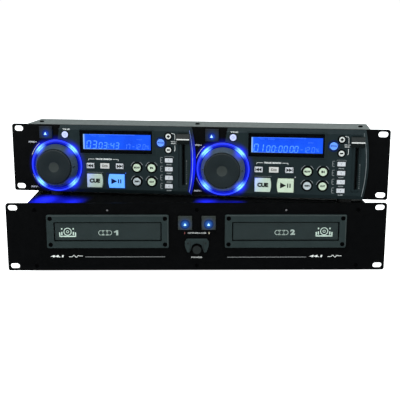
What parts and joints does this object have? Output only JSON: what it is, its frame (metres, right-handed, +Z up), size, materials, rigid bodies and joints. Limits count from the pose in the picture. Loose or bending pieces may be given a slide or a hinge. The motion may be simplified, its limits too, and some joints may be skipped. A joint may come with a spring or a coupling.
{
  "type": "dual disc player",
  "caption": "Rack-mount disc transport with motorised front-loading trays and its separate control unit with jog wheels, displays, keys and pitch faders.",
  "frame": {"origin": "bottom centre of the whole object's box, on the surface the transport unit's feet stand on", "axes": "+X to the right seen from the front, along the front panel; +Y from the front panel to the back; +Z up. The control unit stands on the cover turned 7.86 degrees clockwise seen from above."},
  "size_m": [0.4826, 0.2738, 0.191],
  "materials": {
    "panel_black": "satin powder coat",
    "cover_black": "gloss paint",
    "chassis_steel": "zinc plated",
    "slate_plastic": "fine grain",
    "mechanism_black": "moulded",
    "board_green": "printed circuit board",
    "rubber_black": "matt",
    "case_grey": "satin paint",
    "light_guide": "translucent, lit blue",
    "door_plastic": "satin",
    "key_grey": "textured",
    "knob_black": "satin",
    "key_cream": "translucent",
    "key_silver": "silver paint",
    "key_white": "satin",
    "key_blue": "translucent, lit blue"
  },
  "bodies": {
    "transport": {"player_chassis": "chassis_steel", "player_top_cover": "cover_black", "player_front_panel": "panel_black", "drive_bezels": "slate_plastic", "disc_mechanisms": "mechanism_black", "player_boards": "board_green", "player_feet_and_screws": "rubber_black"},
    "controller": {"controller_case": "case_grey", "controller_front_panel": "panel_black", "controller_fascias": "slate_plastic", "jog_light_rings": "light_guide", "control_boards": "board_green", "controller_feet_and_screws": "rubber_black"},
    "disc_tray_1": {"disc_tray_1": "door_plastic"},
    "disc_tray_2": {"disc_tray_2": "door_plastic"},
    "open_key_1": {"open_key_1": "key_grey"},
    "open_key_2": {"open_key_2": "key_grey"},
    "power_button": {"power_button": "knob_black"},
    "deck1_jog_wheel": {"deck1_jog_wheel": "knob_black"},
    "deck1_shuttle_ring": {"deck1_shuttle_ring": "slate_plastic"},
    "deck1_pitch_fader": {"deck1_pitch_fader": "knob_black"},
    "deck1_cue_key": {"deck1_cue_key": "key_cream"},
    "deck1_play_key": {"deck1_play_key": "key_blue"},
    "deck1_eject_key": {"deck1_eject_key": "knob_black"},
    "deck1_time_key": {"deck1_time_key": "key_white"},
    "deck1_track_back_key": {"deck1_track_back_key": "key_silver"},
    "deck1_folder_key": {"deck1_folder_key": "key_silver"},
    "deck1_track_skip_key": {"deck1_track_skip_key": "key_silver"},
    "deck1_reloop_key": {"deck1_reloop_key": "key_cream"},
    "deck1_loop_in_key": {"deck1_loop_in_key": "key_cream"},
    "deck1_tempo_key": {"deck1_tempo_key": "key_silver"},
    "deck1_loop_out_key": {"deck1_loop_out_key": "key_cream"},
    "deck1_pitch_key": {"deck1_pitch_key": "key_blue"},
    "deck1_bend_plus_key": {"deck1_bend_plus_key": "key_white"},
    "deck1_bend_minus_key": {"deck1_bend_minus_key": "key_white"},
    "deck1_program_key_1": {"deck1_program_key_1": "key_silver"},
    "deck1_program_key_2": {"deck1_program_key_2": "key_silver"},
    "deck1_program_key_3": {"deck1_program_key_3": "key_silver"},
    "deck1_program_key_4": {"deck1_program_key_4": "key_silver"},
    "deck2_jog_wheel": {"deck2_jog_wheel": "knob_black"},
    "deck2_shuttle_ring": {"deck2_shuttle_ring": "slate_plastic"},
    "deck2_pitch_fader": {"deck2_pitch_fader": "knob_black"},
    "deck2_cue_key": {"deck2_cue_key": "key_cream"},
    "deck2_play_key": {"deck2_play_key": "key_cream"},
    "deck2_eject_key": {"deck2_eject_key": "knob_black"},
    "deck2_time_key": {"deck2_time_key": "key_white"},
    "deck2_track_back_key": {"deck2_track_back_key": "key_silver"},
    "deck2_folder_key": {"deck2_folder_key": "key_silver"},
    "deck2_track_skip_key": {"deck2_track_skip_key": "key_silver"},
    "deck2_reloop_key": {"deck2_reloop_key": "key_cream"},
    "deck2_loop_in_key": {"deck2_loop_in_key": "key_cream"},
    "deck2_tempo_key": {"deck2_tempo_key": "key_silver"},
    "deck2_loop_out_key": {"deck2_loop_out_key": "key_cream"},
    "deck2_pitch_key": {"deck2_pitch_key": "key_blue"},
    "deck2_bend_plus_key": {"deck2_bend_plus_key": "key_white"},
    "deck2_bend_minus_key": {"deck2_bend_minus_key": "key_white"},
    "deck2_program_key_1": {"deck2_program_key_1": "key_silver"},
    "deck2_program_key_2": {"deck2_program_key_2": "key_silver"},
    "deck2_program_key_3": {"deck2_program_key_3": "key_silver"},
    "deck2_program_key_4": {"deck2_program_key_4": "key_silver"}
  },
  "joints": [
    {"name": "controller_lift", "type": "slide", "parent": "transport", "child": "controller", "axis": [0, 0, 1], "range_m": [0, 0.12]},
    {"name": "disc_tray_1_slide", "type": "slide", "parent": "transport", "child": "disc_tray_1", "axis": [0, -1, 0], "range_m": [0, 0.138]},
    {"name": "disc_tray_2_slide", "type": "slide", "parent": "transport", "child": "disc_tray_2", "axis": [0, -1, 0], "range_m": [0, 0.138]},
    {"name": "deck1_jog_spin", "type": "hinge", "parent": "controller", "child": "deck1_jog_wheel", "pos_m": [-0.1806, -0.06915, 0.13756], "axis": [0.1367, 0.9906, 0], "continuous": true},
    {"name": "deck2_jog_spin", "type": "hinge", "parent": "controller", "child": "deck2_jog_wheel", "pos_m": [0.03387, -0.09874, 0.13756], "axis": [0.1367, 0.9906, 0], "continuous": true},
    {"name": "deck1_shuttle_turn", "type": "hinge", "parent": "controller", "child": "deck1_shuttle_ring", "pos_m": [-0.1806, -0.06915, 0.13756], "axis": [0.1367, 0.9906, 0], "range_deg": [-45, 45], "stiffness_Nm_per_rad": 0.04},
    {"name": "deck2_shuttle_turn", "type": "hinge", "parent": "controller", "child": "deck2_shuttle_ring", "pos_m": [0.03387, -0.09874, 0.13756], "axis": [0.1367, 0.9906, 0], "range_deg": [-45, 45], "stiffness_Nm_per_rad": 0.04},
    {"name": "deck1_pitch_fader_slide", "type": "slide", "parent": "controller", "child": "deck1_pitch_fader", "axis": [0, 0, 1], "range_m": [-0.056, 0]},
    {"name": "deck2_pitch_fader_slide", "type": "slide", "parent": "controller", "child": "deck2_pitch_fader", "axis": [0, 0, 1], "range_m": [-0.056, 0]},
    {"name": "open_key_1_press", "type": "slide", "parent": "transport", "child": "open_key_1", "axis": [0, 1, 0], "range_m": [0, 0.0008], "stiffness_N_per_m": 300, "springref_m": -0.001},
    {"name": "open_key_2_press", "type": "slide", "parent": "transport", "child": "open_key_2", "axis": [0, 1, 0], "range_m": [0, 0.0008], "stiffness_N_per_m": 300, "springref_m": -0.001},
    {"name": "power_button_press", "type": "slide", "parent": "transport", "child": "power_button", "axis": [0, 1, 0], "range_m": [0, 0.0025], "stiffness_N_per_m": 300, "springref_m": -0.001},
    {"name": "deck1_cue_key_press", "type": "slide", "parent": "controller", "child": "deck1_cue_key", "axis": [0.1367, 0.9906, 0], "range_m": [0, 0.0005], "stiffness_N_per_m": 300, "springref_m": -0.001},
    {"name": "deck1_play_key_press", "type": "slide", "parent": "controller", "child": "deck1_play_key", "axis": [0.1367, 0.9906, 0], "range_m": [0, 0.0005], "stiffness_N_per_m": 300, "springref_m": -0.001},
    {"name": "deck2_cue_key_press", "type": "slide", "parent": "controller", "child": "deck2_cue_key", "axis": [0.1367, 0.9906, 0], "range_m": [0, 0.0005], "stiffness_N_per_m": 300, "springref_m": -0.001},
    {"name": "deck2_play_key_press", "type": "slide", "parent": "controller", "child": "deck2_play_key", "axis": [0.1367, 0.9906, 0], "range_m": [0, 0.0005], "stiffness_N_per_m": 300, "springref_m": -0.001},
    {"name": "deck1_eject_key_press", "type": "slide", "parent": "controller", "child": "deck1_eject_key", "axis": [0.1367, 0.9906, 0], "range_m": [0, 0.0005], "stiffness_N_per_m": 200, "springref_m": -0.001},
    {"name": "deck1_time_key_press", "type": "slide", "parent": "controller", "child": "deck1_time_key", "axis": [0.1367, 0.9906, 0], "range_m": [0, 0.0005], "stiffness_N_per_m": 200, "springref_m": -0.001},
    {"name": "deck1_track_back_key_press", "type": "slide", "parent": "controller", "child": "deck1_track_back_key", "axis": [0.1367, 0.9906, 0], "range_m": [0, 0.0005], "stiffness_N_per_m": 200, "springref_m": -0.001},
    {"name": "deck1_folder_key_press", "type": "slide", "parent": "controller", "child": "deck1_folder_key", "axis": [0.1367, 0.9906, 0], "range_m": [0, 0.0005], "stiffness_N_per_m": 200, "springref_m": -0.001},
    {"name": "deck1_track_skip_key_press", "type": "slide", "parent": "controller", "child": "deck1_track_skip_key", "axis": [0.1367, 0.9906, 0], "range_m": [0, 0.0005], "stiffness_N_per_m": 200, "springref_m": -0.001},
    {"name": "deck1_reloop_key_press", "type": "slide", "parent": "controller", "child": "deck1_reloop_key", "axis": [0.1367, 0.9906, 0], "range_m": [0, 0.0005], "stiffness_N_per_m": 200, "springref_m": -0.001},
    {"name": "deck1_loop_in_key_press", "type": "slide", "parent": "controller", "child": "deck1_loop_in_key", "axis": [0.1367, 0.9906, 0], "range_m": [0, 0.0005], "stiffness_N_per_m": 200, "springref_m": -0.001},
    {"name": "deck1_tempo_key_press", "type": "slide", "parent": "controller", "child": "deck1_tempo_key", "axis": [0.1367, 0.9906, 0], "range_m": [0, 0.0005], "stiffness_N_per_m": 200, "springref_m": -0.001},
    {"name": "deck1_loop_out_key_press", "type": "slide", "parent": "controller", "child": "deck1_loop_out_key", "axis": [0.1367, 0.9906, 0], "range_m": [0, 0.0005], "stiffness_N_per_m": 200, "springref_m": -0.001},
    {"name": "deck1_pitch_key_press", "type": "slide", "parent": "controller", "child": "deck1_pitch_key", "axis": [0.1367, 0.9906, 0], "range_m": [0, 0.0005], "stiffness_N_per_m": 200, "springref_m": -0.001},
    {"name": "deck1_bend_plus_key_press", "type": "slide", "parent": "controller", "child": "deck1_bend_plus_key", "axis": [0.1367, 0.9906, 0], "range_m": [0, 0.0005], "stiffness_N_per_m": 200, "springref_m": -0.001},
    {"name": "deck1_bend_minus_key_press", "type": "slide", "parent": "controller", "child": "deck1_bend_minus_key", "axis": [0.1367, 0.9906, 0], "range_m": [0, 0.0005], "stiffness_N_per_m": 200, "springref_m": -0.001},
    {"name": "deck1_program_key_1_press", "type": "slide", "parent": "controller", "child": "deck1_program_key_1", "axis": [0.1367, 0.9906, 0], "range_m": [0, 0.0005], "stiffness_N_per_m": 200, "springref_m": -0.001},
    {"name": "deck1_program_key_2_press", "type": "slide", "parent": "controller", "child": "deck1_program_key_2", "axis": [0.1367, 0.9906, 0], "range_m": [0, 0.0005], "stiffness_N_per_m": 200, "springref_m": -0.001},
    {"name": "deck1_program_key_3_press", "type": "slide", "parent": "controller", "child": "deck1_program_key_3", "axis": [0.1367, 0.9906, 0], "range_m": [0, 0.0005], "stiffness_N_per_m": 200, "springref_m": -0.001},
    {"name": "deck1_program_key_4_press", "type": "slide", "parent": "controller", "child": "deck1_program_key_4", "axis": [0.1367, 0.9906, 0], "range_m": [0, 0.0005], "stiffness_N_per_m": 200, "springref_m": -0.001},
    {"name": "deck2_eject_key_press", "type": "slide", "parent": "controller", "child": "deck2_eject_key", "axis": [0.1367, 0.9906, 0], "range_m": [0, 0.0005], "stiffness_N_per_m": 200, "springref_m": -0.001},
    {"name": "deck2_time_key_press", "type": "slide", "parent": "controller", "child": "deck2_time_key", "axis": [0.1367, 0.9906, 0], "range_m": [0, 0.0005], "stiffness_N_per_m": 200, "springref_m": -0.001},
    {"name": "deck2_track_back_key_press", "type": "slide", "parent": "controller", "child": "deck2_track_back_key", "axis": [0.1367, 0.9906, 0], "range_m": [0, 0.0005], "stiffness_N_per_m": 200, "springref_m": -0.001},
    {"name": "deck2_folder_key_press", "type": "slide", "parent": "controller", "child": "deck2_folder_key", "axis": [0.1367, 0.9906, 0], "range_m": [0, 0.0005], "stiffness_N_per_m": 200, "springref_m": -0.001},
    {"name": "deck2_track_skip_key_press", "type": "slide", "parent": "controller", "child": "deck2_track_skip_key", "axis": [0.1367, 0.9906, 0], "range_m": [0, 0.0005], "stiffness_N_per_m": 200, "springref_m": -0.001},
    {"name": "deck2_reloop_key_press", "type": "slide", "parent": "controller", "child": "deck2_reloop_key", "axis": [0.1367, 0.9906, 0], "range_m": [0, 0.0005], "stiffness_N_per_m": 200, "springref_m": -0.001},
    {"name": "deck2_loop_in_key_press", "type": "slide", "parent": "controller", "child": "deck2_loop_in_key", "axis": [0.1367, 0.9906, 0], "range_m": [0, 0.0005], "stiffness_N_per_m": 200, "springref_m": -0.001},
    {"name": "deck2_tempo_key_press", "type": "slide", "parent": "controller", "child": "deck2_tempo_key", "axis": [0.1367, 0.9906, 0], "range_m": [0, 0.0005], "stiffness_N_per_m": 200, "springref_m": -0.001},
    {"name": "deck2_loop_out_key_press", "type": "slide", "parent": "controller", "child": "deck2_loop_out_key", "axis": [0.1367, 0.9906, 0], "range_m": [0, 0.0005], "stiffness_N_per_m": 200, "springref_m": -0.001},
    {"name": "deck2_pitch_key_press", "type": "slide", "parent": "controller", "child": "deck2_pitch_key", "axis": [0.1367, 0.9906, 0], "range_m": [0, 0.0005], "stiffness_N_per_m": 200, "springref_m": -0.001},
    {"name": "deck2_bend_plus_key_press", "type": "slide", "parent": "controller", "child": "deck2_bend_plus_key", "axis": [0.1367, 0.9906, 0], "range_m": [0, 0.0005], "stiffness_N_per_m": 200, "springref_m": -0.001},
    {"name": "deck2_bend_minus_key_press", "type": "slide", "parent": "controller", "child": "deck2_bend_minus_key", "axis": [0.1367, 0.9906, 0], "range_m": [0, 0.0005], "stiffness_N_per_m": 200, "springref_m": -0.001},
    {"name": "deck2_program_key_1_press", "type": "slide", "parent": "controller", "child": "deck2_program_key_1", "axis": [0.1367, 0.9906, 0], "range_m": [0, 0.0005], "stiffness_N_per_m": 200, "springref_m": -0.001},
    {"name": "deck2_program_key_2_press", "type": "slide", "parent": "controller", "child": "deck2_program_key_2", "axis": [0.1367, 0.9906, 0], "range_m": [0, 0.0005], "stiffness_N_per_m": 200, "springref_m": -0.001},
    {"name": "deck2_program_key_3_press", "type": "slide", "parent": "controller", "child": "deck2_program_key_3", "axis": [0.1367, 0.9906, 0], "range_m": [0, 0.0005], "stiffness_N_per_m": 200, "springref_m": -0.001},
    {"name": "deck2_program_key_4_press", "type": "slide", "parent": "controller", "child": "deck2_program_key_4", "axis": [0.1367, 0.9906, 0], "range_m": [0, 0.0005], "stiffness_N_per_m": 200, "springref_m": -0.001}
  ]
}
